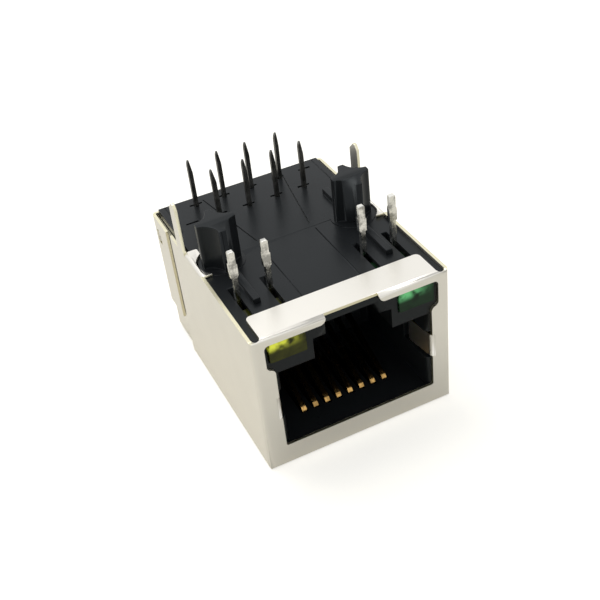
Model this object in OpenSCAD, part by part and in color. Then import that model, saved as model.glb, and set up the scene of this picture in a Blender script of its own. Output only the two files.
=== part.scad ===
// Shielded modular jack for a circuit board: eight contacts, two lamps, and the
// magnetics in a case behind the port. It lies on the roof of its shield, so its
// board side and its pins are up. +Z points to the board, -Y is the side where
// the plug goes in, and the origin is under the middle of the part, on the roof.
// Depths are measured from the front panel, heights from the roof.

/* [Shield] */
// Width over the side walls
body_w = 16; // [15.8:0.1:18]
// Depth from the front panel to the rear cover
body_d = 21.2; // [21:0.1:24]
// Height from the roof to the top of the flap
body_h = 12.6; // [12.4:0.1:13.6]
// Thickness of the sheet
sheet_t = 0.25; // [0.2:0.01:0.3]
// Outer radius of the bends
bend_r = 0.4; // [0.35:0.01:0.5]
// Gap between the sheet and the plastic under it
fit_gap = 0.03; // [0.02:0.01:0.06]
// Width of the open seam between the roof and a side wall
seam_gap = 0.05; // [0.03:0.01:0.1]

/* [Front opening] */
// Width of the opening for the plug
port_w = 12.84; // [12.6:0.02:13]
// Height of the opening's lower edge
port_z = 2; // [1.9:0.05:2.3]
// Width over both lamp windows
window_w = 14.06; // [13.8:0.02:14.3]
// Height of the lamp windows
window_h = 2.23; // [2.05:0.02:2.35]
// Distance from the top of the flap down to the lamp windows
window_drop = 0.65; // [0.6:0.05:0.8]
// Width of the notch for the plug's latch
notch_w = 4.34; // [4:0.02:4.8]
// Radius of the round corners of the opening
corner_r = 0.35; // [0.25:0.05:0.45]

/* [Front flap] */
// Width of the flap over the board side
flap_w = 14.2; // [13.8:0.1:14.8]
// Depth of the flap from the front panel
flap_d = 3; // [2.8:0.05:3.3]

/* [Grounding fingers] */
// Height of a finger's strip
finger_h = 2.1; // [1.8:0.1:2.4]
// Height of a finger's lower edge
finger_z = 4.85; // [4.6:0.05:5.2]
// Length of the straight leg behind the fold
finger_leg = 2.2; // [1.8:0.1:2.6]
// Angle that the leg leans into the port
finger_lean = 8; // [5:1:10]

/* [Board tabs and blades] */
// Depth where the folded tab beside each post starts
tab_y = 9.3; // [9.2:0.05:9.5]
// Depth where the folded tab ends
tab_end = 13.1; // [12.8:0.1:13.2]
// Reach of the folded tab from the side wall
tab_reach = 1.1; // [1:0.05:1.2]
// Radius of the inner corners of the folded tab
tab_r = 0.15; // [0.1:0.05:0.2]
// Length of the bevel on a blade's tip
blade_bevel = 0.6; // [0.4:0.05:0.7]
// Depth of the middle of each solder blade
blade_y = 13.95; // [13.9:0.05:14.1]
// Width of a solder blade
blade_w = 1.25; // [1:0.05:1.4]
// Rise of a solder blade above the flap
blade_rise = 4.15; // [3.5:0.05:4.6]

/* [Rear cover] */
// Height of the top edge of the rear cover
cover_h = 12; // [11.6:0.1:12.2]
// Length of the flanges that wrap round the side walls
flange_len = 3.45; // [3:0.05:3.6]
// Height of the lower edge of the flanges
flange_z = 3.1; // [2.6:0.1:3.6]
// Height of the side walls under the flanges
inner_wall_h = 11.6; // [11.4:0.1:11.8]
// Height of the middle of the snap window in each flange
snap_z = 10.25; // [9.6:0.05:10.4]

/* [Housing] */
// Depth of the seam between the housing and the magnetics case
seam_y = 11.15; // [11:0.05:11.3]
// Width of the space for the plug
cavity_w = 12; // [11.9:0.02:12.2]
// Height of the floor of that space
cavity_z = 1.8; // [1.7:0.05:1.9]
// Height of its top, under the lamps
cavity_top = 9; // [8.9:0.02:9.2]
// Depth of that space behind the housing's front
cavity_d = 9.7; // [9.5:0.05:9.8]
// Width of the step for the latch's shoulders
step_w = 6.4; // [6.2:0.05:6.5]
// Height of the top of that step
step_top = 10.8; // [10.6:0.05:11]
// Height of the top of the latch slot
latch_top = 11.9; // [11.7:0.05:12]
// Lead-in chamfer round the mouth
mouth_chamfer = 0.3; // [0.2:0.05:0.4]

/* [Posts and ribs] */
// Distance between the two posts
post_pitch = 11.43; // [11.3:0.01:11.6]
// Depth of the posts
post_y = 10.75; // [10.6:0.05:10.9]
// Diameter over the four lobes of a post
post_d = 3.15; // [3:0.05:3.2]
// Rise of a post above the flap
post_rise = 3.6; // [3:0.05:4]
// Rise of the round foot of a post
foot_rise = 0.06; // [0.04:0.02:0.12]
// Distance from the lobes of a post to the edge of its foot
foot_reach = 0.26; // [0.22:0.01:0.32]
// Diameter of the flutes between the lobes
flute_d = 3; // [2.6:0.1:3.2]
// Thickness of a post's core between opposite flutes
post_core = 1.94; // [1.8:0.02:2.1]
// Fall of a post's top from its middle to its front
post_slope = 0.2; // [0.1:0.05:0.3]
// Distance between the left and the right ribs
rib_pitch = 11; // [10.9:0.05:11.2]
// Width of a rib
rib_w = 0.55; // [0.45:0.05:0.65]
// Rise of the ribs above the flap, where the board rests
rib_rise = 0.15; // [0.1:0.05:0.3]
// Depth where the front ribs start
rib_y = 4.4; // [4.2:0.1:5]
// Depth where the rear ribs end
rib_end = 15.2; // [14.6:0.1:15.6]

/* [Signal pins] */
// Side of a square pin
pin_w = 0.36; // [0.32:0.02:0.46]
// Distance between two pins of a row, and between the rows
pin_pitch = 2.54; // [2.5:0.01:2.58]
// Distance from the rear cover's face to the last row of pins
pin_inset = 1.56; // [1.5:0.02:1.6]
// Rise of the pins above the flap
pin_rise = 4.1; // [3:0.05:4.6]
// Length of the bevel on one side of a pin's point
pin_point = 1.2; // [0.6:0.1:1.6]

/* [Lamps] */
// Width of a lamp's body
lamp_w = 2.9; // [2.7:0.05:3]
// Height of a lamp's body
lamp_h = 1.64; // [1.5:0.02:1.66]
// Length of a lamp's body
lamp_len = 4.7; // [4.2:0.1:4.8]
// Distance between the middles of the two lamps
lamp_pitch = 10.46; // [10.42:0.02:10.5]
// Distance from the top of the flap down to the lamps
lamp_drop = 0.71; // [0.66:0.05:0.86]
// Distance between the two leads of a lamp
lead_pitch = 2.6; // [2.54:0.02:2.66]
// Depth of the rising part of the leads
lead_y = 5.6; // [5.5:0.05:5.8]
// Rise of the leads above the flap
lead_rise = 4; // [3:0.05:4.5]
// Thickness of a lead, and its width in the slot
lead_t = 0.4; // [0.34:0.02:0.42]
// Width of a lead's upper end
lead_w = 0.5; // [0.46:0.02:0.56]
// Width of a lead where it was cut from its neighbour
lead_band_w = 0.64; // [0.58:0.02:0.7]
// Width of the slots for the leads
slot_w = 0.46; // [0.44:0.02:0.54]
// Depth where the lead slots end
slot_end = 7.2; // [6.8:0.1:7.4]

/* [Contacts] */
// Distance between two contacts
contact_pitch = 1.02; // [1:0.01:1.04]
// Width of a contact
contact_w = 0.4; // [0.34:0.02:0.44]
// Thickness of a contact
contact_t = 0.32; // [0.28:0.02:0.36]
// Depth of the foremost point of the contacts
contact_front = 2.8; // [2.6:0.05:3]
// Angle at which the contacts rise towards the rear
contact_slope = 24; // [20:1:26]
// Length of the sprung arm of a contact
contact_arm = 6.4; // [6:0.1:6.6]
// Height of the contact wire under the floor
contact_z = 1.15; // [1.1:0.05:1.2]
// Bending radius of a contact at the front
contact_r = 0.42; // [0.4:0.01:0.45]

/* [Magnetics] */
// Thickness of the walls of the magnetics case
case_wall = 0.8; // [0.6:0.05:0.9]
// Thickness of the wall that holds the pins
pin_wall = 1.1; // [0.9:0.05:1.3]
// Thickness of the inner circuit board
board_t = 0.8; // [0.6:0.05:1]
// Height of the lower side of the inner circuit board
board_z = 1.75; // [1.7:0.05:1.85]
// Hole of a ring core
core_hole = 1.7; // [1.5:0.1:1.9]
// Thickness of the winding round a core
wire_build = 0.3; // [0.2:0.05:0.35]
// Length of a chip resistor
chip_len = 1.6; // [1:0.1:2]
// Width of a chip resistor
chip_w = 0.8; // [0.5:0.1:1.2]
// Thickness of a chip resistor
chip_t = 0.45; // [0.3:0.05:0.6]
// Width of the capacitor between the ring cores
cap_w = 1.4; // [1:0.1:1.6]
// Height of the capacitor
cap_h = 1.5; // [1:0.1:2]

/* [Hidden] */
$fn = 44;
core_fn = 24;                  // facets of the cores and of the contacts' bends
small_fn = 16;                 // facets of the small holes in the circuit board

cut = 1;                       // how far a cutting shape runs past what it cuts
inner_r = bend_r - sheet_t;    // inner radius of the bends
inner_w = body_w - 2 * sheet_t;
flap_z = body_h - sheet_t;     // underside of the flap
tab_hole_r = post_d / 2 + 0.4; // round edge of the folded tab beside its post
flap_slot_y = bend_r / 2 - 0.05; // front ends of the slots beside the flap
board_side = flap_z - fit_gap; // top of the housing and of the case
window_top = body_h - window_drop;
window_z = window_top - window_h;
rib_top = body_h + rib_rise;

// The side walls step in by one sheet where the flanges lie over them.
joggle = sheet_t + fit_gap;
joggle_len = 0.6;
snap_y = body_d - 1.18;        // middle of the snap window in a flange
snap_w = 0.75;
snap_h = 1.3;
joggle_y = body_d - flange_len - 2 * joggle_len - 0.1;
wall_end = body_d - sheet_t - fit_gap;
case_w = inner_w - 2 * joggle - 2 * fit_gap;
case_end = body_d - sheet_t - fit_gap;

front_y = sheet_t + fit_gap;   // front of the housing
housing_w = inner_w - 2 * fit_gap;
lamp_x = lamp_pitch / 2;
lamp_z = body_h - lamp_drop - lamp_h;
lamp_gap = 0.06;               // play of a lamp in its pocket
lamp_front = 0.08;             // the lens stands back this far from the panel
lead_z = lamp_z + lamp_h / 2;  // where the leads leave a lamp
lamp_end = lamp_front + lamp_len;
finger_fold = bend_r;          // outer radius of a finger's fold
finger_gap = 0.25;             // room round a finger in the housing's wall
mould_x = 2.4;                 // where the fine mould lines run, from the middle
groove_w = 0.1;
groove_depth = 0.06;
side_line = 4.6;               // length of the line along each side of the case
side_line_x = case_w / 2 - 0.55;

contact_top = contact_z + 2 * contact_r;
groove_gap = 0.11;             // room on each side of a contact in its groove
comb_d = 1.3;                  // how far the comb stands out from the rear wall
comb_z = 3.6;
comb_top = 6.4;
comb_bar = 0.8;                // height of the closed bar over the comb's slots
carrier_y = 8.6;               // front of the contact carrier
carrier_w = 8 * contact_pitch + 1.2;
carrier_top = contact_z + contact_t / 2 + 0.29;
tail_r = 0.5;                  // radius of the bend under the circuit board
tail_y = seam_y + case_wall + 0.9;
tail_rise = 0.5;               // how far the tails stand above the circuit board

case_y = seam_y + fit_gap;
board_y = case_y + case_wall + 0.1;
board_end = case_end - case_wall - 0.1;
board_w = case_w - 2 * case_wall - 0.2;
board_top = board_z + board_t;
pin_foot = board_z - 0.4;
pin_row_y = body_d - pin_inset - pin_pitch;
solder_gap = 0.04;             // room round a wire or pin in its hole

// Two windings fit one on the other, and between the contact tails and the pins.
wound_y = tail_y + tail_r + contact_t / 2 + 0.15;
wound_end = pin_row_y - pin_w / 2 - 0.2;
winding_d = (board_side - pin_wall - board_top) / 2 - fit_gap;
core_d = winding_d - 2 * wire_build;
core_len = wound_end - wound_y - 2 * wire_build;
core_x = winding_d / 2 + cap_w / 2 + 0.2;
core_y = (wound_y + wound_end) / 2;

// ---- helpers ------------------------------------------------------------

// Measures depth from the front panel instead of from the middle of the part.
module from_front() translate([0, -body_d / 2, 0]) children();

module both_sides() {
    children();
    mirror([1, 0, 0]) children();
}

// Sweeps a front view, drawn as width and height, from depth y0 to y1.
module along_y(y0, y1) translate([0, y1, 0]) rotate([90, 0, 0]) linear_extrude(y1 - y0) children();

// Sweeps a side view, drawn as depth and height, from x0 to x1.
module along_x(x0, x1) translate([x0, 0, 0]) rotate([90, 0, 90]) linear_extrude(x1 - x0) children();

// Sweeps a plan from height z0 to z1.
module along_z(z0, z1) translate([0, 0, z0]) linear_extrude(z1 - z0) children();

module block(x0, x1, y0, y1, z0, z1) translate([x0, y0, z0]) cube([x1 - x0, y1 - y0, z1 - z0]);

// Rectangle from (x0, y0) to (x1, y1) with round corners.
module round_rect(x0, y0, x1, y1, r) {
    translate([x0 + r, y0]) square([x1 - x0 - 2 * r, y1 - y0]);
    translate([x0, y0 + r]) square([x1 - x0, y1 - y0 - 2 * r]);
    for (x = [x0 + r, x1 - r], y = [y0 + r, y1 - r])
        translate([x, y]) circle(r);
}

// What a round corner leaves of its square; the round side faces -X and -Y.
module fillet(r) difference() {
    translate([-r, -r]) square(r + 0.02);
    translate([-r, -r]) circle(r);
}

// Strip bent round the origin, from angle a0 to a1, less than 180 apart.
module bent_strip(r, a0, a1, t = sheet_t) intersection() {
    difference() {
        circle(r);
        circle(r - t);
    }
    polygon([[0, 0], 2 * r * [cos(a0), sin(a0)],
             3 * r * [cos((a0 + a1) / 2), sin((a0 + a1) / 2)], 2 * r * [cos(a1), sin(a1)]]);
}

// ---- shield -------------------------------------------------------------

// Solid with round upright edges, and round edges along the roof and the flap.
module bent_solid(w, y0, y1, z0, z1, r) intersection() {
    along_z(z0, z1) round_rect(-w / 2, y0, w / 2, y1, r);
    along_x(-w / 2, w / 2) difference() {
        translate([y0, z0]) square([y1 - y0, z1 - z0]);
        translate([y0, z0]) rotate(180) fillet(r);
        translate([y0, z1]) rotate(90) fillet(r);
        translate([y1, z0]) rotate(270) fillet(r);
    }
    along_y(y0, y1) difference() {
        translate([-w / 2, z0]) square([w, z1 - z0]);
        translate([-w / 2, z0]) rotate(180) fillet(r);
        translate([w / 2, z0]) rotate(270) fillet(r);
    }
}

// The opening in the front panel: port, lamp windows and latch notch.
module front_opening() {
    convex_r = 1.4 * corner_r;
    round_rect(-port_w / 2, port_z, port_w / 2, window_top - cut, corner_r / 2);
    round_rect(-window_w / 2, window_z, window_w / 2, window_top, corner_r);
    translate([-notch_w / 2, window_top - cut]) square([notch_w, body_h]);
    for (side = [0, 1]) mirror([side, 0, 0]) {
        translate([port_w / 2, window_z]) rotate(270) corner_round(convex_r);
        translate([notch_w / 2, window_top]) corner_round(convex_r);
    }
    // Room for the fingers' folds.
    fold_x = port_w / 2 + finger_fold * 2 / 3;
    translate([-fold_x, finger_z]) square([2 * fold_x, finger_h]);
}

// Rounds off a corner of the sheet that lies in the first quadrant.
module corner_round(r) difference() {
    translate([-0.02, -0.02]) square(r + 0.02);
    translate([r, r]) circle(r);
}

// Plan of the front flap, with its two round rear corners.
module flap_plan() round_rect(-flap_w / 2, -cut, flap_w / 2, flap_d, bend_r);

// Plan of the tab that is folded over the housing beside a post.
module tab_plan() difference() {
    round_rect(body_w / 2 - tab_reach, tab_y, body_w / 2 + tab_r, tab_end, tab_r);
    translate([post_pitch / 2, post_y]) circle(tab_hole_r);
}

// What is cut from the sheet over the board side: all but the wall tops, the
// flap and the tabs. The slots beside the flap have round front ends.
module board_side_cut() {
    slot_r = (inner_w - flap_w) / 4 - seam_gap / 2;
    along_z(flap_z - inner_r, body_h + cut) {
        difference() {
            translate([-inner_w / 2, bend_r + slot_r]) square([inner_w, body_d]);
            flap_plan();
            both_sides() tab_plan();
        }
        both_sides() round_rect(flap_w / 2, flap_slot_y, inner_w / 2, bend_r + 3 * slot_r, slot_r);
    }
}

// The rear part of a side wall: it steps in and runs inside the flange.
module joggled_wall() along_z(sheet_t + seam_gap, inner_wall_h) {
    x_out = body_w / 2;
    x_in = x_out - joggle;
    y_in = joggle_y + joggle_len;
    polygon([[x_out, joggle_y - 0.3], [x_out, joggle_y], [x_in, y_in], [x_in, wall_end],
             [x_in - sheet_t, wall_end], [x_in - sheet_t, y_in],
             [x_out - sheet_t, joggle_y], [x_out - sheet_t, joggle_y - 0.3]]);
}

// Solder blade that rises from a side wall, with its bevelled tip.
module blade() along_x(body_w / 2 - sheet_t, body_w / 2) {
    y0 = blade_y - blade_w / 2;
    y1 = blade_y + blade_w / 2;
    top = body_h + blade_rise;
    middle = blade_y;
    polygon([[y0, body_h - cut], [y0, top - blade_bevel * 3 / 4], [y0 + blade_bevel / 2, top - fit_gap],
             [middle, top], [y1, top - blade_bevel], [y1, body_h - cut]]);
}

// Finger folded back from the edge of the port, seen in plan.
module finger_plan() {
    fold_x = port_w / 2 + finger_fold * 2 / 3;
    a_end = 180 + finger_lean;
    translate([fold_x - 0.02, 0]) square([0.4, sheet_t]);
    translate([fold_x, finger_fold]) {
        bent_strip(finger_fold, 270, a_end);
        rotate(finger_lean) translate([-finger_fold, 0]) {
            square([sheet_t, finger_leg]);
            // The end of the finger curls back to its wall.
            translate([2 * bend_r, finger_leg]) bent_strip(2 * bend_r, 180, 120);
        }
    }
}

// Window in a flange where the wedge of the side wall snaps in.
module snap_window() along_x(inner_w / 2 - 0.02, body_w / 2 + cut)
    round_rect(snap_y - snap_w / 2, snap_z - snap_h / 2, snap_y + snap_w / 2, snap_z + snap_h / 2, inner_r);

// Wedge on the joggled wall that fills the snap window.
module snap_wedge() {
    x_in = body_w / 2 - joggle;
    foot = x_in - sheet_t / 2;
    half_h = snap_h / 2 - 0.15;
    y0 = snap_y - snap_w / 2 + 0.08;
    y1 = snap_y + snap_w / 2 - 0.12;
    along_z(snap_z - half_h, snap_z + half_h)
        polygon([[foot, y0], [x_in, y0], [body_w / 2, y1 - 0.1], [body_w / 2, y1], [foot, y1]]);
}

module shield() color([0.80, 0.79, 0.74]) from_front() {
    flange_y = body_d - flange_len;
    difference() {
        bent_solid(body_w, 0, body_d, 0, body_h, bend_r);
        bent_solid(inner_w, sheet_t, body_d - sheet_t, sheet_t, body_h - sheet_t, inner_r);
        board_side_cut();
        along_y(-cut, bend_r) front_opening();
        both_sides() {
            // The wall ends before the flange, and only the flange goes on.
            block(inner_w / 2, body_w / 2 + cut, joggle_y, flange_y, -cut, body_h + cut);
            block(inner_w / 2 - bend_r, body_w / 2 + cut, joggle_y, body_d + cut, -cut, flange_z);
            // Open seam between the roof and the side wall.
            block(inner_w / 2 - seam_gap, inner_w / 2, bend_r + 0.1, body_d + cut, -cut, sheet_t + 0.01);
            // Relief between the tab and the flap, and behind the blade.
            block(inner_w / 2 - 0.02, body_w / 2 + cut, blade_y + blade_w / 2, joggle_y + cut,
                  body_h - 0.25, body_h + cut);
            translate([body_w / 2, 0, body_h]) along_y(tab_y, tab_end) fillet(bend_r);
            snap_window();
        }
        // Top edge of the rear cover and its flanges.
        block(-body_w, body_w, joggle_y, body_d + cut, cover_h, body_h + cut);
    }
    both_sides() {
        joggled_wall();
        snap_wedge();
        blade();
        along_z(finger_z, finger_z + finger_h) finger_plan();
    }
}

// ---- housing ------------------------------------------------------------

// The stepped space for the plug and its latch, as seen from the front.
module cavity_face() {
    translate([-cavity_w / 2, cavity_z]) square([cavity_w, cavity_top - cavity_z]);
    translate([-step_w / 2, cavity_z]) square([step_w, step_top - cavity_z]);
    translate([-notch_w / 2, cavity_z]) square([notch_w, latch_top - cavity_z]);
}

// Lead-in round the mouth: the floor and the two sides slope in.
module mouth() along_z(cavity_z, cavity_top) {
    x = cavity_w / 2;
    c = mouth_chamfer;
    polygon([[-x - c, front_y - cut], [-x - c, front_y], [-x, front_y + c],
             [x, front_y + c], [x + c, front_y], [x + c, front_y - cut]]);
}

module lamp_pocket() {
    x0 = lamp_x - lamp_w / 2 - lamp_gap;
    x1 = lamp_x + lamp_w / 2 + lamp_gap;
    block(x0, x1, 0, lamp_end + lamp_gap, lamp_z - lamp_gap, lamp_z + lamp_h + lamp_gap);
    // Space behind the lamp where the leads turn up, and their slots.
    block(x0, x1, lamp_end, lead_y + lead_t, lead_z - lead_t, lamp_z + lamp_h + lamp_gap);
    for (side = [-1, 1])
        block(lamp_x + side * lead_pitch / 2 - slot_w / 2, lamp_x + side * lead_pitch / 2 + slot_w / 2,
              flap_d - 0.6, slot_end, lead_z, board_side + cut);
}

// Post with four lobes on a round foot. Its top is level behind and slopes in front.
module post() {
    top = body_h + post_rise;
    flute_at = (post_core + flute_d) / 2;
    translate([post_pitch / 2, post_y, 0]) {
        intersection() {
            along_z(board_side - 0.2, top + cut) difference() {
                circle(d = post_d);
                for (a = [45:90:315])
                    rotate(a) translate([flute_at, 0]) circle(d = flute_d);
            }
            along_x(-post_d, post_d)
                polygon([[-post_d / 2, 0], [-post_d / 2, top - post_slope], [0, top],
                         [post_d, top], [post_d, 0]]);
        }
        along_z(board_side, board_side + foot_rise) circle(post_d / 2 + foot_reach);
    }
}

// Lug under the rear half of a post, let into the magnetics case.
module lug(play) translate([post_pitch / 2, post_y, 0])
    along_z(board_side - pin_wall - play, board_side) circle(d = post_d + 0.1 + 2 * play);

// Fine groove in the board side, where two parts of the mould met.
module groove_line(x0, y0, x1, y1) {
    run = norm([x1 - x0, y1 - y0]);
    translate([x0, y0, board_side - groove_depth]) rotate(atan2(y1 - y0, x1 - x0))
        translate([0, -groove_w / 2, 0]) cube([run, groove_w, cut]);
}

// Grooves that carry the contacts under the floor and let them rise.
module contact_grooves() for (i = [1:8]) {
    x = contact_x(i);
    w = contact_w / 2 + groove_gap;
    block(x - w, x + w, contact_front - 0.1, seam_y + cut, contact_z - contact_t / 2 - 0.05, cavity_z + 0.01);
}

// Comb in the rear wall that guides the free ends of the contacts.
module comb() difference() {
    block(-carrier_w / 2, carrier_w / 2, front_y + cavity_d - comb_d, front_y + cavity_d + 0.01,
          comb_z, comb_top);
    for (i = [1:8]) {
        x = contact_x(i);
        w = contact_w / 2 + groove_gap;
        block(x - w, x + w, 0, front_y + cavity_d, comb_z - cut, comb_top - comb_bar);
    }
}

module housing() color([0.13, 0.13, 0.14]) from_front() {
    difference() {
        union() {
            difference() {
                intersection() {
                    bent_solid(housing_w, front_y, seam_y + cut, sheet_t + fit_gap, board_side, inner_r);
                    block(-body_w, body_w, 0, seam_y, 0, body_h);
                }
                along_y(-cut, front_y + cavity_d) cavity_face();
                mouth();
            }
            comb();
            both_sides() {
                lug(0);
                post();
                block(rib_pitch / 2 - rib_w / 2, rib_pitch / 2 + rib_w / 2, rib_y, post_y - post_d / 2 + 0.3,
                      board_side - 0.1, rib_top);
            }
        }
        both_sides() {
            lamp_pocket();
            // Pocket for the grounding finger.
            block(0, port_w / 2 + finger_fold, front_y - cut, front_y + finger_leg + 1.2,
                  finger_z - finger_gap, finger_z + finger_h + finger_gap);
            groove_line(mould_x, flap_d + 0.3, mould_x, seam_y - 0.3);
        }
        contact_grooves();
        block(-carrier_w / 2 - fit_gap, carrier_w / 2 + fit_gap, carrier_y - fit_gap, seam_y + cut,
              sheet_t, carrier_top + fit_gap);
    }
}

// ---- contacts -----------------------------------------------------------

function contact_x(i) = (i - 4.5) * contact_pitch;

// Side view of a contact: sprung arm, front bend, the run under the floor, and
// the tail that goes up through the circuit board.
module contact_path() {
    t = contact_t;
    y_bend = contact_front + contact_r + t / 2;
    z_bend = contact_z + contact_r;
    tail_x = tail_y + tail_r;
    translate([y_bend, z_bend]) {
        rotate(contact_slope) translate([-0.01, contact_r - t / 2]) square([contact_arm, t]);
        bent_strip(contact_r + t / 2, 90 + contact_slope, 270, t);
    }
    translate([y_bend - 0.01, contact_z - t / 2]) square([tail_y - y_bend + 0.02, t]);
    translate([tail_y, contact_z + tail_r]) bent_strip(tail_r + t / 2, 270, 360, t);
    translate([tail_x - t / 2, contact_z + tail_r - 0.01])
        square([t, board_top + tail_rise - contact_z - tail_r]);
}

module contact(i) color([0.85, 0.68, 0.33]) from_front()
    along_x(contact_x(i) - contact_w / 2, contact_x(i) + contact_w / 2) contact_path($fn = core_fn);

// Bar moulded round the contacts where they leave the housing.
module contact_carrier() color([0.16, 0.16, 0.17]) from_front() difference() {
    block(-carrier_w / 2, carrier_w / 2, carrier_y, case_y + case_wall - fit_gap,
          sheet_t + fit_gap, carrier_top);
    for (i = [1:8]) block(contact_x(i) - contact_w / 2, contact_x(i) + contact_w / 2, 0, body_d,
                          contact_z - contact_t / 2, contact_z + contact_t / 2);
}

// ---- magnetics case -----------------------------------------------------

function pin_x(i) = (i - 4.5) * pin_pitch / 2;

// Odd pins stand in the rear row and even pins in the front row.
function pin_depth(i) = pin_row_y + (i % 2 == 1 ? pin_pitch : 0);

// Slit in the board side at each pin's place, the two empty ones included.
module pin_slit(i) block(pin_x(i) - 0.55, pin_x(i) + 0.55, pin_depth(i) + 0.05, pin_depth(i) + 0.25,
                         board_side - 0.3, board_side + cut);

module magnetics_case() color([0.14, 0.14, 0.15]) from_front() difference() {
    union() {
        along_x(-case_w / 2, case_w / 2) difference() {
            translate([case_y, sheet_t + fit_gap])
                square([case_end - case_y, board_side - sheet_t - fit_gap]);
            translate([case_end, sheet_t + fit_gap]) rotate(270) fillet(inner_r);
        }
        both_sides() block(rib_pitch / 2 - rib_w / 2, rib_pitch / 2 + rib_w / 2,
                           post_y + post_d / 2 + foot_reach + 0.1, rib_end, board_side - 0.1, rib_top);
    }
    // Space for the magnetics, open to the roof.
    block(-case_w / 2 + case_wall, case_w / 2 - case_wall, case_y + case_wall, case_end - case_wall,
          0, board_side - pin_wall);
    // Passage for the contact carrier.
    block(-carrier_w / 2 - fit_gap, carrier_w / 2 + fit_gap, case_y - cut, case_y + case_wall + cut,
          0, carrier_top + fit_gap);
    both_sides() {
        lug(fit_gap);
        translate([0, 0, cut]) lug(fit_gap);
        groove_line(mould_x - 0.1, case_y + 0.6, mould_x + 1.3, case_end - 0.8);
        groove_line(side_line_x, case_end - side_line, side_line_x, case_end - groove_w / 2);
    }
    for (i = [0:9]) pin_slit(i);
    for (i = [1:8]) block(pin_x(i) - pin_w / 2 - 0.01, pin_x(i) + pin_w / 2 + 0.01,
                          pin_depth(i) - pin_w / 2 - 0.01, pin_depth(i) + pin_w / 2 + 0.01,
                          board_side - pin_wall - cut, board_side + cut);
}

// Square wire with a blunt tip, from the circuit board up. The bevel is long on
// one side of the tip and short on the other.
module pin_profile(long_bevel, short_bevel) {
    top = body_h + pin_rise;
    half = pin_w / 2;
    polygon([[-half, pin_foot], [-half, top - short_bevel], [-half * 0.7, top],
             [half * 0.1, top - fit_gap], [half, top - long_bevel], [half, pin_foot]]);
}

module signal_pin(i) color([0.48, 0.48, 0.46]) from_front()
    translate([pin_x(i), pin_depth(i), 0]) intersection() {
        along_x(-pin_w, pin_w) pin_profile(pin_point / 2, pin_point / 3);
        along_y(-pin_w, pin_w) pin_profile(pin_point, pin_point / 4);
    }

module circuit_board() color([0.16, 0.36, 0.24]) from_front() difference() {
    block(-board_w / 2, board_w / 2, board_y, board_end, board_z, board_top);
    for (i = [1:8]) {
        translate([contact_x(i), tail_y + tail_r, 0])
            cylinder(h = body_h, d = norm([contact_w, contact_t]) + 2 * solder_gap, $fn = small_fn);
        translate([pin_x(i), pin_depth(i), 0])
            cylinder(h = body_h, d = pin_w * sqrt(2) + 2 * solder_gap, $fn = small_fn);
    }
}

// ---- what the case holds ------------------------------------------------

// The four ring cores stand in two columns, two high, in front of the pins.
module at_core(i) from_front()
    translate([(i % 2 == 1 ? -1 : 1) * core_x, core_y,
               board_top + winding_d / 2 + (i > 2 ? winding_d + fit_gap : 0)])
        rotate([90, 0, 0]) children();

module ring_core(i) color([0.30, 0.29, 0.28]) at_core(i) rotate_extrude($fn = core_fn)
    translate([core_hole / 2, -core_len / 2]) square([(core_d - core_hole) / 2, core_len]);

// Winding round three quarters of a core, with the core's section left out.
module winding(i) color([0.66, 0.34, 0.16]) at_core(i)
    rotate_extrude(angle = 300, start = 30, $fn = core_fn)
    difference() {
        round_rect(core_hole / 2 - wire_build, -core_len / 2 - wire_build,
                   core_d / 2 + wire_build, core_len / 2 + wire_build, wire_build, $fn = small_fn);
        translate([core_hole / 2, -core_len / 2]) square([(core_d - core_hole) / 2, core_len]);
    }

module resistor(i) color([0.10, 0.10, 0.10]) from_front()
    translate([(i - 2.5) * pin_pitch, pin_row_y + pin_pitch / 2, board_top])
        block(-chip_len / 2, chip_len / 2, -chip_w / 2, chip_w / 2, 0, chip_t);

module capacitor() color([0.62, 0.52, 0.38]) from_front()
    block(-cap_w / 2, cap_w / 2, wound_y, wound_end, board_top, board_top + cap_h);

// ---- lamps --------------------------------------------------------------

// Lens and body of a lamp in one, with a step round its rear end.
module lamp(side) mirror([side < 0 ? 1 : 0, 0, 0]) from_front() translate([lamp_x, 0, 0]) {
    along_y(lamp_front, lamp_end - 0.8)
        round_rect(-lamp_w / 2, lamp_z, lamp_w / 2, lamp_z + lamp_h, 0.12);
    block(-lamp_w / 2, lamp_w / 2, lamp_end - 0.9, lamp_end, lamp_z, lamp_z + lamp_h);
}

module led_left() color([0.66, 0.70, 0.22, 0.8]) lamp(-1);

module led_right() color([0.28, 0.55, 0.28, 0.8]) lamp(1);

// Lead of a lamp: back, up through its slot, and wider above the board side. Above
// the slot it keeps two stubs from the bar that joined it to its neighbour.
module led_lead(i) color([0.78, 0.77, 0.72]) from_front()
    translate([(i < 3 ? -lamp_x : lamp_x) + (i % 2 == 1 ? -1 : 1) * lead_pitch / 2, 0, 0]) {
        top = body_h + lead_rise;
        band_z = body_h + lead_rise * 0.46;
        band_end = body_h + lead_rise * 0.76;
        neck = lead_t / 2;
        half = lead_w / 2;
        band = lead_band_w / 2;
        nick = 0.08;
        along_x(-lead_t / 2, lead_t / 2) {
            translate([lamp_end, lead_z - lead_t / 2]) square([lead_y - lamp_end - lead_t / 2, lead_t]);
            translate([lead_y - lead_t / 2, lead_z + lead_t / 2]) intersection() {
                circle(lead_t);
                translate([0, -2 * lead_t]) square(2 * lead_t);
            }
            translate([lead_y - lead_t / 2, lead_z + lead_t / 2]) square([lead_t, band_z - lead_z]);
        }
        along_y(lead_y - lead_t / 2, lead_y + lead_t / 2)
            polygon([[-neck, band_z - nick], [-band, band_z], [-band, band_end - nick], [-half, band_end],
                     [-half, top - nick], [nick - half, top], [half - nick, top], [half, top - nick],
                     [half, band_end - nick], [band, band_end - 2 * nick], [band, band_z],
                     [neck, band_z - nick]]);
    }

// ---- nodes --------------------------------------------------------------

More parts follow.
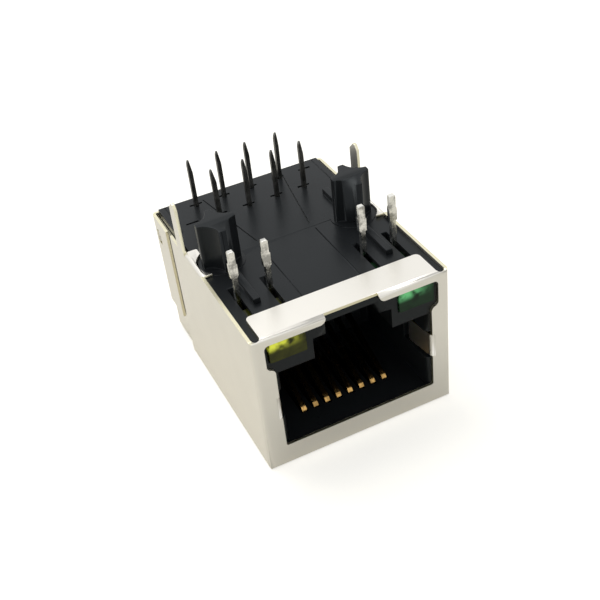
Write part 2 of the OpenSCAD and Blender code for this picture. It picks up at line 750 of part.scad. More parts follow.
shield();
housing();
magnetics_case();
contact_carrier();
circuit_board();
led_left();
led_right();
for (i = [1:4]) led_lead(i);
for (i = [1:8]) contact(i);
for (i = [1:8]) signal_pin(i);
for (i = [1:4]) ring_core(i);
for (i = [1:4]) winding(i);
for (i = [1:4]) resistor(i);
capacitor();
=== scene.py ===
"""Looks for a shielded board jack: plated sheet, moulded plastic, pins, contacts and lamps.

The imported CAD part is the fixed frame. Each operator dresses one piece, or one
group of like pieces, and the stage operator adds the floor, lights and camera.
"""
import math

import bmesh
import bpy
import numpy as np
from bpy.props import FloatProperty, FloatVectorProperty, PointerProperty
from mathutils import Matrix, Vector
from mathutils.bvhtree import BVHTree


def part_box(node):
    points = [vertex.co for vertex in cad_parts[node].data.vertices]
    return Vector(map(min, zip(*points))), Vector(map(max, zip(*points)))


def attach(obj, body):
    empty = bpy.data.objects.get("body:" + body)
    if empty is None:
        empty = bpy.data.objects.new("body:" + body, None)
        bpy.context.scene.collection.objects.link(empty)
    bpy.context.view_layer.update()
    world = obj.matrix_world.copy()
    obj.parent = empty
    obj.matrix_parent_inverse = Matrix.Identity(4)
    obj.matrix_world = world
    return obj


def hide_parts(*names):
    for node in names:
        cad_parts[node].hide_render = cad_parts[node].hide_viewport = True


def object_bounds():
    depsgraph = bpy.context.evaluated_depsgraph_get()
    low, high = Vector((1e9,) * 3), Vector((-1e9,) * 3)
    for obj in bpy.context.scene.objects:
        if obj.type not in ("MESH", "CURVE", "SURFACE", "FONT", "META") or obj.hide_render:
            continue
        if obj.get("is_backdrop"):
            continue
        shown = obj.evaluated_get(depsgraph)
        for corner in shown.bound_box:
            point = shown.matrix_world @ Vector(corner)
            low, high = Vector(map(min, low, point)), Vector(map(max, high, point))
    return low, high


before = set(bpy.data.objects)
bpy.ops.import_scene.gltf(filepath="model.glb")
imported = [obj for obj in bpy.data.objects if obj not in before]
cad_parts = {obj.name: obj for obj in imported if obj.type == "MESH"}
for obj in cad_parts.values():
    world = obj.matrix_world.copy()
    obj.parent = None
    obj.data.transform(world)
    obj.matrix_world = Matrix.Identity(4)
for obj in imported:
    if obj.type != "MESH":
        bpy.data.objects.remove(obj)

bl_info = {
    "name": "Board jack dresser",
    "version": (1, 0, 0),
    "blender": (4, 5, 0),
    "location": "View3D > Sidebar > Jack",
    "description": "Dresses a shielded board jack with plated sheet, plastics, pins and lamps",
    "category": "Object",
}

MM = 0.001
BODY = "root"
CAD_LOW, CAD_HIGH = (Vector(corner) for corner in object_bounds())
FRONT_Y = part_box("shield")[0].y
ROOM = 2.5  # faces narrower than this many rounding widths keep sharp edges


# ---- properties -----------------------------------------------------------

def length(name, description, millimetres):
    return FloatProperty(name=name, description=description, default=millimetres * MM,
                         min=0.0, unit="LENGTH", precision=5)


def share(name, description, value):
    return FloatProperty(name=name, description=description, default=value, min=0.0, max=1.0,
                         subtype="FACTOR")


def colour(name, description, rgb):
    return FloatVectorProperty(name=name, description=description, default=rgb, size=3,
                               min=0.0, max=1.0, subtype="COLOR")


class SheetLook(bpy.types.PropertyGroup):
    """Plated sheet of the shield."""
    plate: colour("Plate", "Colour of the tin-nickel plate", (0.87, 0.845, 0.785))
    cut_metal: colour("Cut edge", "Colour of the brass where the sheet was cut", (0.80, 0.76, 0.56))
    roughness: share("Roughness", "Roughness of the plate", 0.33)
    edge_round: length("Edge rounding", "Rounding of the sheet's sharp edges", 0.03)


class PlasticLook(bpy.types.PropertyGroup):
    """Black moulded plastic of the housing and the magnetics case."""
    base: colour("Plastic", "Colour of the black plastic", (0.009, 0.010, 0.011))
    roughness: share("Roughness", "Roughness of the moulded faces", 0.30)
    edge_round: length("Edge rounding", "Rounding of the moulded edges", 0.05)


class MetalLook(bpy.types.PropertyGroup):
    """Pins, leads and contacts."""
    tin: colour("Pin plate", "Colour of the signal pins' dull tin", (0.17, 0.17, 0.16))
    bright_tin: colour("Lead plate", "Colour of the lamp leads' bright tin", (0.86, 0.85, 0.80))
    gold: colour("Contact gold", "Colour of the contacts' gold plate", (0.62, 0.38, 0.13))


class LampLook(bpy.types.PropertyGroup):
    """Clear coloured lamps."""
    yellow: colour("Left lens", "Colour of the left lamp's lens", (0.74, 0.78, 0.07))
    green: colour("Right lens", "Colour of the right lamp's lens", (0.14, 0.52, 0.20))


class StageLook(bpy.types.PropertyGroup):
    """Floor, lights and camera."""
    floor: colour("Floor", "Colour of the floor", (0.82, 0.785, 0.70))
    camera_place: FloatVectorProperty(
        name="Camera place", description="Camera's place from the middle of the panel's lower edge",
        default=(-23.32 * MM, -49.78 * MM, 55.66 * MM), size=3, unit="LENGTH", precision=5)
    azimuth: FloatProperty(name="Azimuth", description="Direction of the view round the part",
                           default=math.radians(-21.302), subtype="ANGLE")
    elevation: FloatProperty(name="Elevation", description="Angle of the view above the floor",
                             default=math.radians(37.401), subtype="ANGLE")
    roll: FloatProperty(name="Roll", description="Turn of the camera about its own axis",
                        default=math.radians(-7.258), subtype="ANGLE")
    lens: FloatProperty(name="Lens", description="Focal length for a 36 mm sensor",
                        default=59.29, unit="CAMERA")


LOOKS = (("sheet", SheetLook), ("plastic", PlasticLook), ("metal", MetalLook),
         ("lamp", LampLook), ("stage", StageLook))


def look(group):
    return getattr(bpy.context.scene, "jack_" + group)


# ---- mesh helpers ---------------------------------------------------------

def new_object(name, mesh):
    obj = bpy.data.objects.new(name, mesh)
    bpy.context.scene.collection.objects.link(obj)
    return obj


def place_piece(obj, slot, *nodes):
    """Rides on the body, and stands for the nodes; the slot is not used."""
    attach(obj, BODY)
    if nodes:
        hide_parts(*nodes)
    return obj


def solid_faces(node):
    """A CAD node's mesh as a bmesh with its flat faces in one piece each."""
    bm = bmesh.new()
    bm.from_mesh(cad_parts[node].data)
    bmesh.ops.remove_doubles(bm, verts=bm.verts, dist=2e-7)
    bmesh.ops.dissolve_limit(bm, angle_limit=math.radians(0.4), verts=bm.verts, edges=bm.edges)
    bm.normal_update()
    return bm


def mark_round_edges(bm, width, sharp_angle, folds):
    """Weights the sharp edges that have room to be rounded, away from known folds."""
    weight = bm.edges.layers.float.new("bevel_weight_edge")
    breadth = {face: 2 * face.calc_area() / sum(edge.calc_length() for edge in face.edges)
               for face in bm.faces}
    for edge in bm.edges:
        near = [other for end in edge.verts for other in end.link_edges]
        if (edge.calc_face_angle(0.0) > math.radians(sharp_angle)
                and all(breadth[face] > ROOM * width for face in edge.link_faces)
                and all(other.calc_length() > 1.5 * width for other in near)
                and not any((end.co - fold).length < ROOM * width
                            for end in edge.verts for fold in folds)):
            edge[weight] = 1.0


def folded_places(mesh):
    """Corners of the triangles that lie upside down in their faces."""
    mesh.calc_loop_triangles()
    return [mesh.vertices[corner].co.copy() for triangle in mesh.loop_triangles
            if triangle.area > 1e-12
            and triangle.normal.dot(mesh.polygons[triangle.polygon_index].normal) < 0.3
            for corner in triangle.vertices]


def rounded_copy(node, name, width, sharp_angle=50.0, segments=3):
    """Copy of a CAD node with its sharp edges rounded off and its flat faces kept flat.

    Where rounding would fold a face, the edges there are left sharp.
    """
    obj = new_object(name, bpy.data.meshes.new(name))
    folds = []
    for _ in range(8):
        bm = solid_faces(node)
        mark_round_edges(bm, width, sharp_angle, folds)
        bm.to_mesh(obj.data)
        bm.free()
        bevel = obj.modifiers.new("edge_round", "BEVEL")
        bevel.width = width
        bevel.segments = segments
        bevel.limit_method = "WEIGHT"
        bevel.use_clamp_overlap = False
        bevel.miter_outer = "MITER_ARC"
        apply_modifiers(obj)
        found = folded_places(obj.data)
        if not found:
            break
        folds += found
    smooth(obj.data)
    even = obj.modifiers.new("even_shading", "WEIGHTED_NORMAL")
    even.keep_sharp = True
    apply_modifiers(obj)
    return obj


def apply_modifiers(obj):
    """Turns the evaluated object into its plain mesh."""
    graph = bpy.context.evaluated_depsgraph_get()
    graph.update()
    mesh = bpy.data.meshes.new_from_object(obj.evaluated_get(graph))
    mesh.name = obj.data.name
    obj.modifiers.clear()
    obj.data = mesh


def smooth(mesh, angle=40.0):
    mesh.shade_smooth()
    mesh.set_sharp_from_angle(angle=math.radians(angle))


def paint(obj, *materials):
    obj.data.materials.clear()
    for material in materials:
        obj.data.materials.append(material)


# ---- repeated pieces --------------------------------------------------------

def repeat_tree():
    """Tree that puts one piece at each anchor point, and leans it above a height."""
    if "repeat_at_anchors" in bpy.data.node_groups:
        return bpy.data.node_groups["repeat_at_anchors"]
    tree = bpy.data.node_groups.new("repeat_at_anchors", "GeometryNodeTree")
    for label, kind, default in (("Geometry", "NodeSocketGeometry", None),
                                 ("Lean From", "NodeSocketFloat", 0.0),
                                 ("Lean Length", "NodeSocketFloat", 4.0 * MM),
                                 ("Material", "NodeSocketMaterial", None)):
        socket = tree.interface.new_socket(label, in_out="INPUT", socket_type=kind)
        if default is not None:
            socket.default_value = default
    tree.interface.new_socket("Geometry", in_out="OUTPUT", socket_type="NodeSocketGeometry")
    gin = add(tree, "NodeGroupInput")
    gout = add(tree, "NodeGroupOutput")
    anchor = add(tree, "GeometryNodeInputNamedAttribute", data_type="BOOLEAN", Name="anchor")
    split = add(tree, "GeometryNodeSeparateGeometry", domain="POINT")
    spread = add(tree, "GeometryNodeInstanceOnPoints")
    bare = add(tree, "GeometryNodeRemoveAttribute", Name="lean")
    plain = add(tree, "GeometryNodeRealizeInstances")
    lean = add(tree, "GeometryNodeInputNamedAttribute", data_type="FLOAT_VECTOR", Name="lean")
    place = add(tree, "GeometryNodeInputPosition")
    height = add(tree, "ShaderNodeSeparateXYZ")
    rise = add(tree, "ShaderNodeMath", operation="SUBTRACT")
    part = add(tree, "ShaderNodeMath", operation="DIVIDE", use_clamp=True)
    shift = add(tree, "ShaderNodeVectorMath", operation="SCALE")
    bend = add(tree, "GeometryNodeSetPosition")
    coat = add(tree, "GeometryNodeSetMaterial")
    link = tree.links.new
    link(gin.outputs["Geometry"], split.inputs["Geometry"])
    link(anchor.outputs["Attribute"], split.inputs["Selection"])
    link(split.outputs["Selection"], spread.inputs["Points"])
    link(split.outputs["Inverted"], bare.inputs["Geometry"])
    link(bare.outputs["Geometry"], spread.inputs["Instance"])
    link(spread.outputs["Instances"], plain.inputs["Geometry"])
    link(place.outputs["Position"], height.inputs[0])
    link(height.outputs["Z"], rise.inputs[0])
    link(gin.outputs["Lean From"], rise.inputs[1])
    link(rise.outputs[0], part.inputs[0])
    link(gin.outputs["Lean Length"], part.inputs[1])
    link(lean.outputs["Attribute"], shift.inputs["Vector"])
    link(part.outputs[0], shift.inputs["Scale"])
    link(plain.outputs["Geometry"], bend.inputs["Geometry"])
    link(shift.outputs["Vector"], bend.inputs["Offset"])
    link(bend.outputs["Geometry"], coat.inputs["Geometry"])
    link(gin.outputs["Material"], coat.inputs["Material"])
    link(coat.outputs["Geometry"], gout.inputs["Geometry"])
    return tree


def repeated(nodes, name, material, edge, leans=None, lean_from=0.0, lean_length=4.0 * MM):
    """One mesh with the first node's rounded shape at the place of every node."""
    obj = rounded_copy(nodes[0], name, edge)
    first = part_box(nodes[0])[0]
    mesh = obj.data
    start = len(mesh.vertices)
    mesh.vertices.add(len(nodes))
    mesh.attributes.new("anchor", "BOOLEAN", "POINT")
    mesh.attributes.new("lean", "FLOAT_VECTOR", "POINT")
    for index, node in enumerate(nodes, start):
        mesh.vertices[index].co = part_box(node)[0] - first
        mesh.attributes["anchor"].data[index].value = True
        mesh.attributes["lean"].data[index].vector = (leans or {}).get(node, (0.0, 0.0, 0.0))
    tree = repeat_tree()
    keys = {item.name: item.identifier for item in tree.interface.items_tree
            if item.in_out == "INPUT"}
    modifier = obj.modifiers.new("repeat", "NODES")
    modifier.node_group = tree
    modifier[keys["Lean From"]] = lean_from
    modifier[keys["Lean Length"]] = lean_length
    modifier[keys["Material"]] = material
    apply_modifiers(obj)
    for label in ("anchor", "lean"):
        mark = obj.data.attributes.get(label)
        if mark:
            obj.data.attributes.remove(mark)
    return obj


# ---- shader helpers -------------------------------------------------------

def new_material(name):
    material = bpy.data.materials.new(name)
    material.use_nodes = True
    tree = material.node_tree
    return material, tree, tree.nodes["Principled BSDF"]


def add(tree, kind, **settings):
    """Adds a shader node; settings are its properties, or inputs by name."""
    node = tree.nodes.new(kind)
    for key, value in settings.items():
        if hasattr(node, key):
            setattr(node, key, value)
        else:
            node.inputs[key.replace("_", " ")].default_value = value
    return node


def new_group(name, inputs, outputs):
    """Empty shader node group with named sockets: (name, type, default)."""
    group = bpy.data.node_groups.new(name, "ShaderNodeTree")
    for label, kind, default in inputs:
        socket = group.interface.new_socket(label, in_out="INPUT", socket_type=kind)
        if default is not None:
            socket.default_value = default
    for label, kind in outputs:
        group.interface.new_socket(label, in_out="OUTPUT", socket_type=kind)
    return group, group.nodes.new("NodeGroupInput"), group.nodes.new("NodeGroupOutput")


def wear_group():
    """Uneven gloss: cloudy stains and fine grain."""
    if "uneven_gloss" in bpy.data.node_groups:
        return bpy.data.node_groups["uneven_gloss"]
    flt = "NodeSocketFloat"
    group, gin, gout = new_group("uneven_gloss", [
        ("Roughness", flt, 0.3), ("Cloud", flt, 0.05), ("Grain", flt, 0.05),
        ("Cloud Scale", flt, 180.0), ("Grain Scale", flt, 6000.0),
    ], [("Roughness", flt), ("Mask", flt), ("Height", flt)])
    coords = add(group, "ShaderNodeTexCoord")
    clouds = add(group, "ShaderNodeTexNoise", Detail=4.0, Roughness=0.6)
    grain = add(group, "ShaderNodeTexNoise", Detail=3.0, Roughness=0.7)
    link = group.links.new
    link(coords.outputs["Object"], clouds.inputs["Vector"])
    link(gin.outputs["Cloud Scale"], clouds.inputs["Scale"])
    link(coords.outputs["Object"], grain.inputs["Vector"])
    link(gin.outputs["Grain Scale"], grain.inputs["Scale"])

    def centred(source, amount):
        shift = add(group, "ShaderNodeMath", operation="SUBTRACT")
        shift.inputs[1].default_value = 0.5
        scale = add(group, "ShaderNodeMath", operation="MULTIPLY")
        link(source, shift.inputs[0])
        link(shift.outputs[0], scale.inputs[0])
        link(amount, scale.inputs[1])
        return scale.outputs[0]

    cloud = centred(clouds.outputs["Fac"], gin.outputs["Cloud"])
    fine = centred(grain.outputs["Fac"], gin.outputs["Grain"])
    both = add(group, "ShaderNodeMath", operation="ADD")
    total = add(group, "ShaderNodeMath", operation="ADD", use_clamp=True)
    link(cloud, both.inputs[0])
    link(fine, both.inputs[1])
    link(both.outputs[0], total.inputs[0])
    link(gin.outputs["Roughness"], total.inputs[1])
    link(total.outputs[0], gout.inputs["Roughness"])
    link(clouds.outputs["Fac"], gout.inputs["Mask"])
    link(grain.outputs["Fac"], gout.inputs["Height"])
    return group


def gloss_map(tree, shader, roughness, cloud=0.06, grain=0.05, cloud_scale=180.0,
              grain_scale=6000.0, bump=0.0, bump_distance=0.01 * MM):
    """Puts the uneven gloss, and a fine bump, on a material."""
    node = add(tree, "ShaderNodeGroup")
    node.node_tree = wear_group()
    for key, value in (("Roughness", roughness), ("Cloud", cloud), ("Grain", grain),
                       ("Cloud Scale", cloud_scale), ("Grain Scale", grain_scale)):
        node.inputs[key].default_value = value
    tree.links.new(node.outputs["Roughness"], shader.inputs["Roughness"])
    if bump:
        relief = add(tree, "ShaderNodeBump", Strength=bump, Distance=bump_distance)
        tree.links.new(node.outputs["Height"], relief.inputs["Height"])
        tree.links.new(relief.outputs["Normal"], shader.inputs["Normal"])
    return node


def mix_colour(tree, factor, first, second):
    """Colour mix with a linked factor; each colour is a socket or three numbers."""
    node = add(tree, "ShaderNodeMix", data_type="RGBA")
    tree.links.new(factor, node.inputs[0])
    for index, value in ((6, first), (7, second)):
        if isinstance(value, bpy.types.NodeSocket):
            tree.links.new(value, node.inputs[index])
        else:
            node.inputs[index].default_value = (*value, 1.0)
    return node.outputs[2]


# ---- materials ------------------------------------------------------------

def sheet_material():
    settings = look("sheet")
    material, tree, shader = new_material("plated_sheet")
    shader.inputs["Metallic"].default_value = 1.0
    plate = Vector(settings.plate)
    gloss = gloss_map(tree, shader, settings.roughness, cloud=0.10, grain=0.06,
                      cloud_scale=260.0, grain_scale=9000.0, bump=0.05)
    stained = mix_colour(tree, gloss.outputs["Mask"], plate, plate * 0.94)
    edge = add(tree, "ShaderNodeAttribute", attribute_name="cut_edge")
    tinted = mix_colour(tree, edge.outputs["Fac"], stained, settings.cut_metal)
    tree.links.new(tinted, shader.inputs["Base Color"])
    return material


def plastic_material(name, roughness, base):
    material, tree, shader = new_material(name)
    shader.inputs["Specular IOR Level"].default_value = 0.20
    shader.inputs["Specular Tint"].default_value = (0.88, 0.96, 1.0, 1.0)
    gloss = gloss_map(tree, shader, roughness, cloud=0.08, grain=0.10, cloud_scale=240.0,
                      grain_scale=5200.0, bump=0.10)
    tone = mix_colour(tree, gloss.outputs["Mask"], base, Vector(base) * 1.35)
    tree.links.new(tone, shader.inputs["Base Color"])
    return material


def ramp(tree, value, low, high):
    """Smooth step of a value, from 0 at low to 1 at high."""
    node = add(tree, "ShaderNodeMapRange", interpolation_type="SMOOTHSTEP")
    node.inputs["From Min"].default_value = low
    node.inputs["From Max"].default_value = high
    tree.links.new(value, node.inputs["Value"])
    return node.outputs["Result"]


def place_along(tree, axis):
    """Object coordinate along one axis."""
    coords = add(tree, "ShaderNodeTexCoord")
    split = add(tree, "ShaderNodeSeparateXYZ")
    tree.links.new(coords.outputs["Object"], split.inputs[0])
    return split.outputs[axis]


def metal_material(name, base, dull, roughness, stain_scale=900.0, bump=0.15,
                   bump_distance=0.01 * MM):
    """Plated wire or strip; dull is the tone of its stains, which on the lamp leads are partly
    painted reflection.
    """
    material, tree, shader = new_material(name)
    shader.inputs["Metallic"].default_value = 1.0
    gloss = gloss_map(tree, shader, roughness, cloud=0.18, grain=0.14, cloud_scale=stain_scale,
                      grain_scale=3.5 * stain_scale, bump=bump, bump_distance=bump_distance)
    # Stain mask: on the lamp leads its dark patches are partly painted reflection of darker
    # surroundings.
    stains = ramp(tree, gloss.outputs["Mask"], 0.40, 0.58)
    tone = mix_colour(tree, stains, dull, base)
    tree.links.new(tone, shader.inputs["Base Color"])
    return material


def contact_material(base, shade_from, shade_to):
    """Gold that is bright at the front bend, with painted shade darkening the arm behind it."""
    # Painted shade: from a little behind the bend, the arm's gold fades to a tenth of its tone.
    dark = Vector(base) * 0.10
    material = metal_material("contact_gold", base, Vector(base) * 0.55, 0.24, stain_scale=2400.0)
    tree = material.node_tree
    shader = tree.nodes["Principled BSDF"]
    bright = shader.inputs["Base Color"].links[0].from_socket
    tone = mix_colour(tree, ramp(tree, place_along(tree, "Y"), shade_from, shade_to), bright, dark)
    tree.links.new(tone, shader.inputs["Base Color"])
    return material


def lens_material(name, tint, low, high):
    """Clear lens with painted light and shade: dark in its depth, with painted light in patches
    along its upper edge.
    """
    material, tree, shader = new_material(name)
    shader.inputs["Specular IOR Level"].default_value = 0.18
    link = tree.links.new
    # Painted light: a mask that is bright towards the top, the front and one side of the lens, in
    # noise patches.
    height = ramp(tree, place_along(tree, "Z"), low.z + 0.75 * MM, high.z - 0.25 * MM)
    side = ramp(tree, place_along(tree, "X"), high.x + 0.2 * MM, low.x + 0.6 * MM)
    front = ramp(tree, place_along(tree, "Y"), low.y + 0.6 * MM, low.y + 0.2 * MM)
    patches = add(tree, "ShaderNodeTexNoise", Scale=1250.0, Detail=2.0, Roughness=0.5)
    coords = add(tree, "ShaderNodeTexCoord")
    link(coords.outputs["Object"], patches.inputs["Vector"])
    lit_spots = ramp(tree, patches.outputs["Fac"], 0.30, 0.62)

    def times(first, second):
        node = add(tree, "ShaderNodeMath", operation="MULTIPLY")
        link(first, node.inputs[0])
        link(second, node.inputs[1])
        return node.outputs[0]

    lit = times(times(height, lit_spots), times(side, front))
    gloss_map(tree, shader, 0.14, cloud=0.06, grain=0.04, cloud_scale=700.0)
    # Painted shade: outside the lit patches the lens is nearly black.
    shaded_depth = mix_colour(tree, patches.outputs["Fac"], Vector(tint) * 0.01, Vector(tint) * 0.10)
    link(mix_colour(tree, lit, shaded_depth, tint), shader.inputs["Base Color"])
    # Painted light: the lit patches also glow a little.
    link(mix_colour(tree, lit, (0.0, 0.0, 0.0), tint), shader.inputs["Emission Color"])
    shader.inputs["Emission Strength"].default_value = 0.3
    return material


# ---- pieces ---------------------------------------------------------------

class JackOperator:
    """Shared words of the operators."""
    bl_options = {"REGISTER", "UNDO"}


class JACK_OT_shield(JackOperator, bpy.types.Operator):
    """Dress the folded shield: rounded edges, plate, and brass at its cut edges"""
    bl_idname = "jack.shield"
    bl_label = "Shield"

    def execute(self, context):
        obj = rounded_copy("shield", "shield_sheet", look("sheet").edge_round)
        mark_cut_edges(obj.data, "shield")
        paint(obj, sheet_material())
        place_piece(obj, "shield_sheet", "shield")
        return {"FINISHED"}


def mark_cut_edges(mesh, node, thick=0.45 * MM):
    """Marks the faces behind which the sheet is deeper than it is thick."""
    bm = bmesh.new()
    bm.from_mesh(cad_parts[node].data)
    tree = BVHTree.FromBMesh(bm)
    bm.free()
    mesh.calc_loop_triangles()
    widest = {}
    for triangle in mesh.loop_triangles:
        if triangle.area > widest.get(triangle.polygon_index, (0.0, None))[0]:
            widest[triangle.polygon_index] = (triangle.area, triangle)
    marks = mesh.attributes.new("cut_edge", "FLOAT", "FACE")
    values = np.zeros(len(mesh.polygons), np.float32)
    for face in mesh.polygons:
        if face.index not in widest:
            continue
        corners = widest[face.index][1].vertices
        middle = sum((mesh.vertices[corner].co for corner in corners), Vector()) / 3
        hit = tree.ray_cast(middle - face.normal * 0.03 * MM, -face.normal, 2.0 * MM)
        if hit[3] is None or hit[3] > thick:
            values[face.index] = 1.0
    marks.data.foreach_set("value", values)


class JACK_OT_plastics(JackOperator, bpy.types.Operator):
    """Dress the housing, the magnetics case and the contact carrier"""
    bl_idname = "jack.plastics"
    bl_label = "Plastics"

    def execute(self, context):
        settings = look("plastic")
        for node, name, slot in (("housing", "housing_moulding", "housing_plastic"),
                                 ("magnetics_case", "case_moulding", "case_plastic"),
                                 ("contact_carrier", "carrier_moulding", "carrier_plastic")):
            obj = rounded_copy(node, name, settings.edge_round)
            paint(obj, plastic_material(slot, settings.roughness, settings.base))
            place_piece(obj, slot, node)
        return {"FINISHED"}


class JACK_OT_pins(JackOperator, bpy.types.Operator):
    """Dress the signal pins"""
    bl_idname = "jack.pins"
    bl_label = "Signal pins"

    def execute(self, context):
        settings = look("metal")
        tin = metal_material("dull_tin", settings.tin, Vector(settings.tin) * 0.6, 0.38)
        nodes = [f"signal_pin_{index}" for index in range(1, 9)]
        leans = {"signal_pin_2": (-0.25 * MM, 0.0, 0.0), "signal_pin_7": (0.25 * MM, 0.0, 0.0)}
        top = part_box(nodes[0])[1].z
        obj = repeated(nodes, "signal_pins", tin, 0.03 * MM, leans, top - 4.2 * MM, 4.2 * MM)
        place_piece(obj, "pin_tin", *nodes)
        return {"FINISHED"}


class JACK_OT_leads(JackOperator, bpy.types.Operator):
    """Dress the lamps' leads"""
    bl_idname = "jack.leads"
    bl_label = "Lamp leads"

    def execute(self, context):
        settings = look("metal")
        # The lead plate's dark mottling is partly its own stains and partly painted reflection.
        tin = metal_material("bright_tin", settings.bright_tin,
                             Vector(settings.bright_tin) * 0.42, 0.2, stain_scale=1300.0,
                             bump=0.5, bump_distance=0.02 * MM)
        nodes = [f"led_lead_{index}" for index in range(1, 5)]
        place_piece(repeated(nodes, "lamp_leads", tin, 0.03 * MM), "lead_tin", *nodes)
        return {"FINISHED"}


class JACK_OT_contacts(JackOperator, bpy.types.Operator):
    """Dress the contacts"""
    bl_idname = "jack.contacts"
    bl_label = "Contacts"

    def execute(self, context):
        settings = look("metal")
        nodes = [f"contact_{index}" for index in range(1, 9)]
        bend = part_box(nodes[0])[0].y
        # The painted shade along the arms starts a quarter millimetre behind the bend.
        gold = contact_material(settings.gold, bend + 0.25 * MM, bend + 0.7 * MM)
        place_piece(repeated(nodes, "contact_springs", gold, 0.09 * MM), "contact_gold", *nodes)
        return {"FINISHED"}


class JACK_OT_lamps(JackOperator, bpy.types.Operator):
    """Dress the lamps"""
    bl_idname = "jack.lamps"
    bl_label = "Lamps"

    def execute(self, context):
        settings = look("lamp")
        for node, slot, tint in (("led_left", "lens_yellow", settings.yellow),
                                 ("led_right", "lens_green", settings.green)):
            obj = rounded_copy(node, slot, 0.06 * MM)
            paint(obj, lens_material(slot, tint, *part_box(node)))
            place_piece(obj, slot, node)
        return {"FINISHED"}


class JACK_OT_magnetics(JackOperator, bpy.types.Operator):
    """Dress what the magnetics case holds"""
    bl_idname = "jack.magnetics"
    bl_label = "Magnetics"

    def execute(self, context):
        ferrite = plastic_material("core_ferrite", 0.5, (0.06, 0.058, 0.055))
        copper = metal_material("winding_copper", (0.72, 0.30, 0.12), (0.4, 0.14, 0.05), 0.3)
        chip = plastic_material("resistor_ceramic", 0.4, (0.03, 0.03, 0.03))
        tan = plastic_material("capacitor_ceramic", 0.5, (0.45, 0.34, 0.2))
        green = plastic_material("board_laminate", 0.3, (0.03, 0.14, 0.07))
        for index in range(1, 5):
            paint(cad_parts[f"ring_core_{index}"], ferrite)
            paint(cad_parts[f"winding_{index}"], copper)
            paint(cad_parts[f"resistor_{index}"], chip)
        paint(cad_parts["capacitor"], tan)
        paint(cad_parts["circuit_board"], green)
        return {"FINISHED"}


# ---- stage ----------------------------------------------------------------

def floor_material(tint):
    """Pale floor that the camera, metal and glass see as white, with its shadow kept."""
    material = bpy.data.materials.new("pale_floor")
    material.use_nodes = True
    tree = material.node_tree
    tree.nodes.clear()
    out = add(tree, "ShaderNodeOutputMaterial")
    diffuse = add(tree, "ShaderNodeBsdfDiffuse")
    diffuse.inputs["Color"].default_value = (*tint, 1.0)
    glow = add(tree, "ShaderNodeEmission")
    path = add(tree, "ShaderNodeLightPath")
    seen = add(tree, "ShaderNodeMath", operation="MULTIPLY")
    seen.inputs[1].default_value = 0.50
    gloss = add(tree, "ShaderNodeMath", operation="MULTIPLY")
    gloss.inputs[1].default_value = 0.04
    clear = add(tree, "ShaderNodeMath", operation="MULTIPLY")
    clear.inputs[1].default_value = 0.25
    first = add(tree, "ShaderNodeMath", operation="ADD")
    second = add(tree, "ShaderNodeMath", operation="ADD")
    both = add(tree, "ShaderNodeAddShader")
    link = tree.links.new
    link(path.outputs["Is Camera Ray"], seen.inputs[0])
    link(path.outputs["Is Glossy Ray"], gloss.inputs[0])
    link(path.outputs["Is Transmission Ray"], clear.inputs[0])
    link(seen.outputs[0], first.inputs[0])
    link(gloss.outputs[0], first.inputs[1])
    link(first.outputs[0], second.inputs[0])
    link(clear.outputs[0], second.inputs[1])
    link(second.outputs[0], glow.inputs["Strength"])
    link(diffuse.outputs[0], both.inputs[0])
    link(glow.outputs[0], both.inputs[1])
    link(both.outputs[0], out.inputs["Surface"])
    return material


def white_world():
    """World that gives plain soft light, and is white where camera, metal and glass see it."""
    world = bpy.data.worlds.new("soft_room")
    bpy.context.scene.world = world
    world.use_nodes = True
    tree = world.node_tree
    tree.nodes.clear()
    out = add(tree, "ShaderNodeOutputWorld")
    room = add(tree, "ShaderNodeBackground")
    room.inputs["Color"].default_value = (0.94, 0.97, 1.0, 1.0)
    room.inputs["Strength"].default_value = 0.66
    white = add(tree, "ShaderNodeBackground")
    white.inputs["Color"].default_value = (1.0, 1.0, 1.0, 1.0)
    white.inputs["Strength"].default_value = 1.0
    mixer = add(tree, "ShaderNodeMixShader")
    path = add(tree, "ShaderNodeLightPath")
    first = add(tree, "ShaderNodeMath", operation="MAXIMUM")
    second = add(tree, "ShaderNodeMath", operation="MAXIMUM")
    link = tree.links.new
    link(path.outputs["Is Camera Ray"], first.inputs[0])
    link(path.outputs["Is Glossy Ray"], first.inputs[1])
    link(first.outputs[0], second.inputs[0])
    link(path.outputs["Is Transmission Ray"], second.inputs[1])
    link(second.outputs[0], mixer.inputs[0])
    link(room.outputs[0], mixer.inputs[1])
    link(white.outputs[0], mixer.inputs[2])
    link(mixer.outputs[0], out.inputs["Surface"])


def area_light(name, place, target, size, watts, tint):
    """Soft rectangular lamp; place and target in millimetres from the part's middle."""
    data = bpy.data.lights.new(name, "AREA")
    data.shape = "RECTANGLE"
    data.size, data.size_y = (side * MM for side in size)
    data.energy = watts
    data.color = tint
    obj = bpy.data.objects.new(name, data)
    bpy.context.scene.collection.objects.link(obj)
    start = Vector(place) * MM
    aim = Vector(target) * MM - start
    obj.location = start
    obj.rotation_euler = aim.to_track_quat("-Z", "Y").to_euler()
    return obj


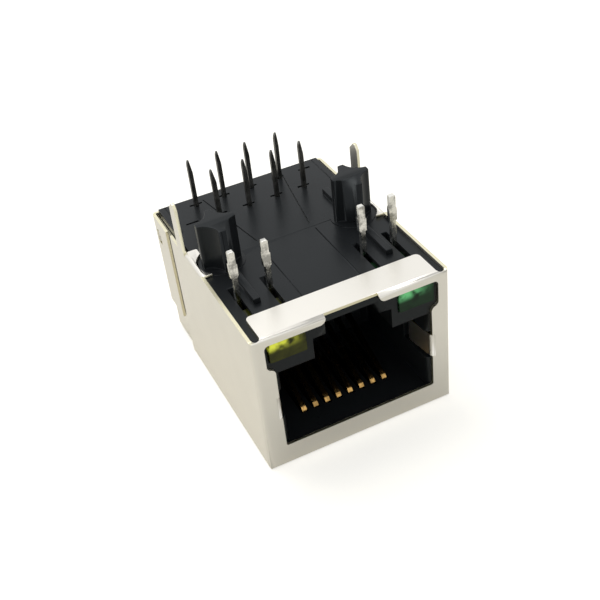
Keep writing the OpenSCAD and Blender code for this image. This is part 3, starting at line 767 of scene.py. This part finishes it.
class JACK_OT_stage(JackOperator, bpy.types.Operator):
    """Add the floor, the soft lights and the camera"""
    bl_idname = "jack.stage"
    bl_label = "Stage"

    def execute(self, context):
        settings = look("stage")
        scene = context.scene
        mesh = bpy.data.meshes.new("floor")
        half = 1.5
        corners = [(-half, -half, 0), (half, -half, 0), (half, half, 0), (-half, half, 0)]
        mesh.from_pydata(corners, [], [(0, 1, 2, 3)])
        floor = new_object("floor", mesh)
        floor.location.z = CAD_LOW.z
        floor.data.materials.append(floor_material(settings.floor))
        floor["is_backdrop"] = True
        white_world()
        area_light("key_light", (-30, 60, 150), (0, 0, 5), (90, 90), 0.09, (1.0, 0.99, 0.97))
        camera = bpy.data.cameras.new("camera")
        camera.lens = settings.lens
        camera.sensor_width = 36.0
        camera.clip_start = 0.001
        camera.clip_end = 10.0
        eye = bpy.data.objects.new("camera", camera)
        scene.collection.objects.link(eye)
        turn, tilt, roll = settings.azimuth, settings.elevation, settings.roll
        ahead = Vector((-math.sin(turn) * math.cos(tilt), math.cos(turn) * math.cos(tilt),
                        -math.sin(tilt)))
        right = ahead.cross(Vector((0, 0, 1))).normalized()
        up = right.cross(ahead)
        rolled_right = right * math.cos(roll) + up * math.sin(roll)
        rolled_up = up * math.cos(roll) - right * math.sin(roll)
        turned = Matrix((rolled_right, rolled_up, -ahead)).transposed().to_4x4()
        place = Vector(settings.camera_place) + Vector((0, FRONT_Y, CAD_LOW.z))
        eye.matrix_world = Matrix.Translation(place) @ turned
        scene.camera = eye
        scene.view_settings.view_transform = "Standard"
        return {"FINISHED"}


OPERATORS = (JACK_OT_shield, JACK_OT_plastics, JACK_OT_pins, JACK_OT_leads, JACK_OT_contacts,
             JACK_OT_lamps, JACK_OT_magnetics, JACK_OT_stage)


class JACK_PT_panel(bpy.types.Panel):
    """Lists the jack's looks and the buttons that make them"""
    bl_label = "Board jack"
    bl_idname = "JACK_PT_panel"
    bl_space_type = "VIEW_3D"
    bl_region_type = "UI"
    bl_category = "Jack"

    def draw(self, context):
        for group, kind in LOOKS:
            box = self.layout.box()
            box.label(text=group.capitalize())
            for key in kind.__annotations__:
                box.prop(getattr(context.scene, "jack_" + group), key)
        for operator in OPERATORS:
            self.layout.operator(operator.bl_idname)


CLASSES = (*(kind for _, kind in LOOKS), *OPERATORS, JACK_PT_panel)


def register():
    for kind in CLASSES:
        bpy.utils.register_class(kind)
    for group, kind in LOOKS:
        setattr(bpy.types.Scene, "jack_" + group, PointerProperty(type=kind))


def unregister():
    for group, _ in LOOKS:
        delattr(bpy.types.Scene, "jack_" + group)
    for kind in reversed(CLASSES):
        bpy.utils.unregister_class(kind)


def main():
    register()
    bpy.ops.jack.stage()
    bpy.ops.jack.shield()
    bpy.ops.jack.plastics()
    bpy.ops.jack.pins()
    bpy.ops.jack.leads()
    bpy.ops.jack.contacts()
    bpy.ops.jack.lamps()
    bpy.ops.jack.magnetics()


if __name__ == "__main__":
    main()
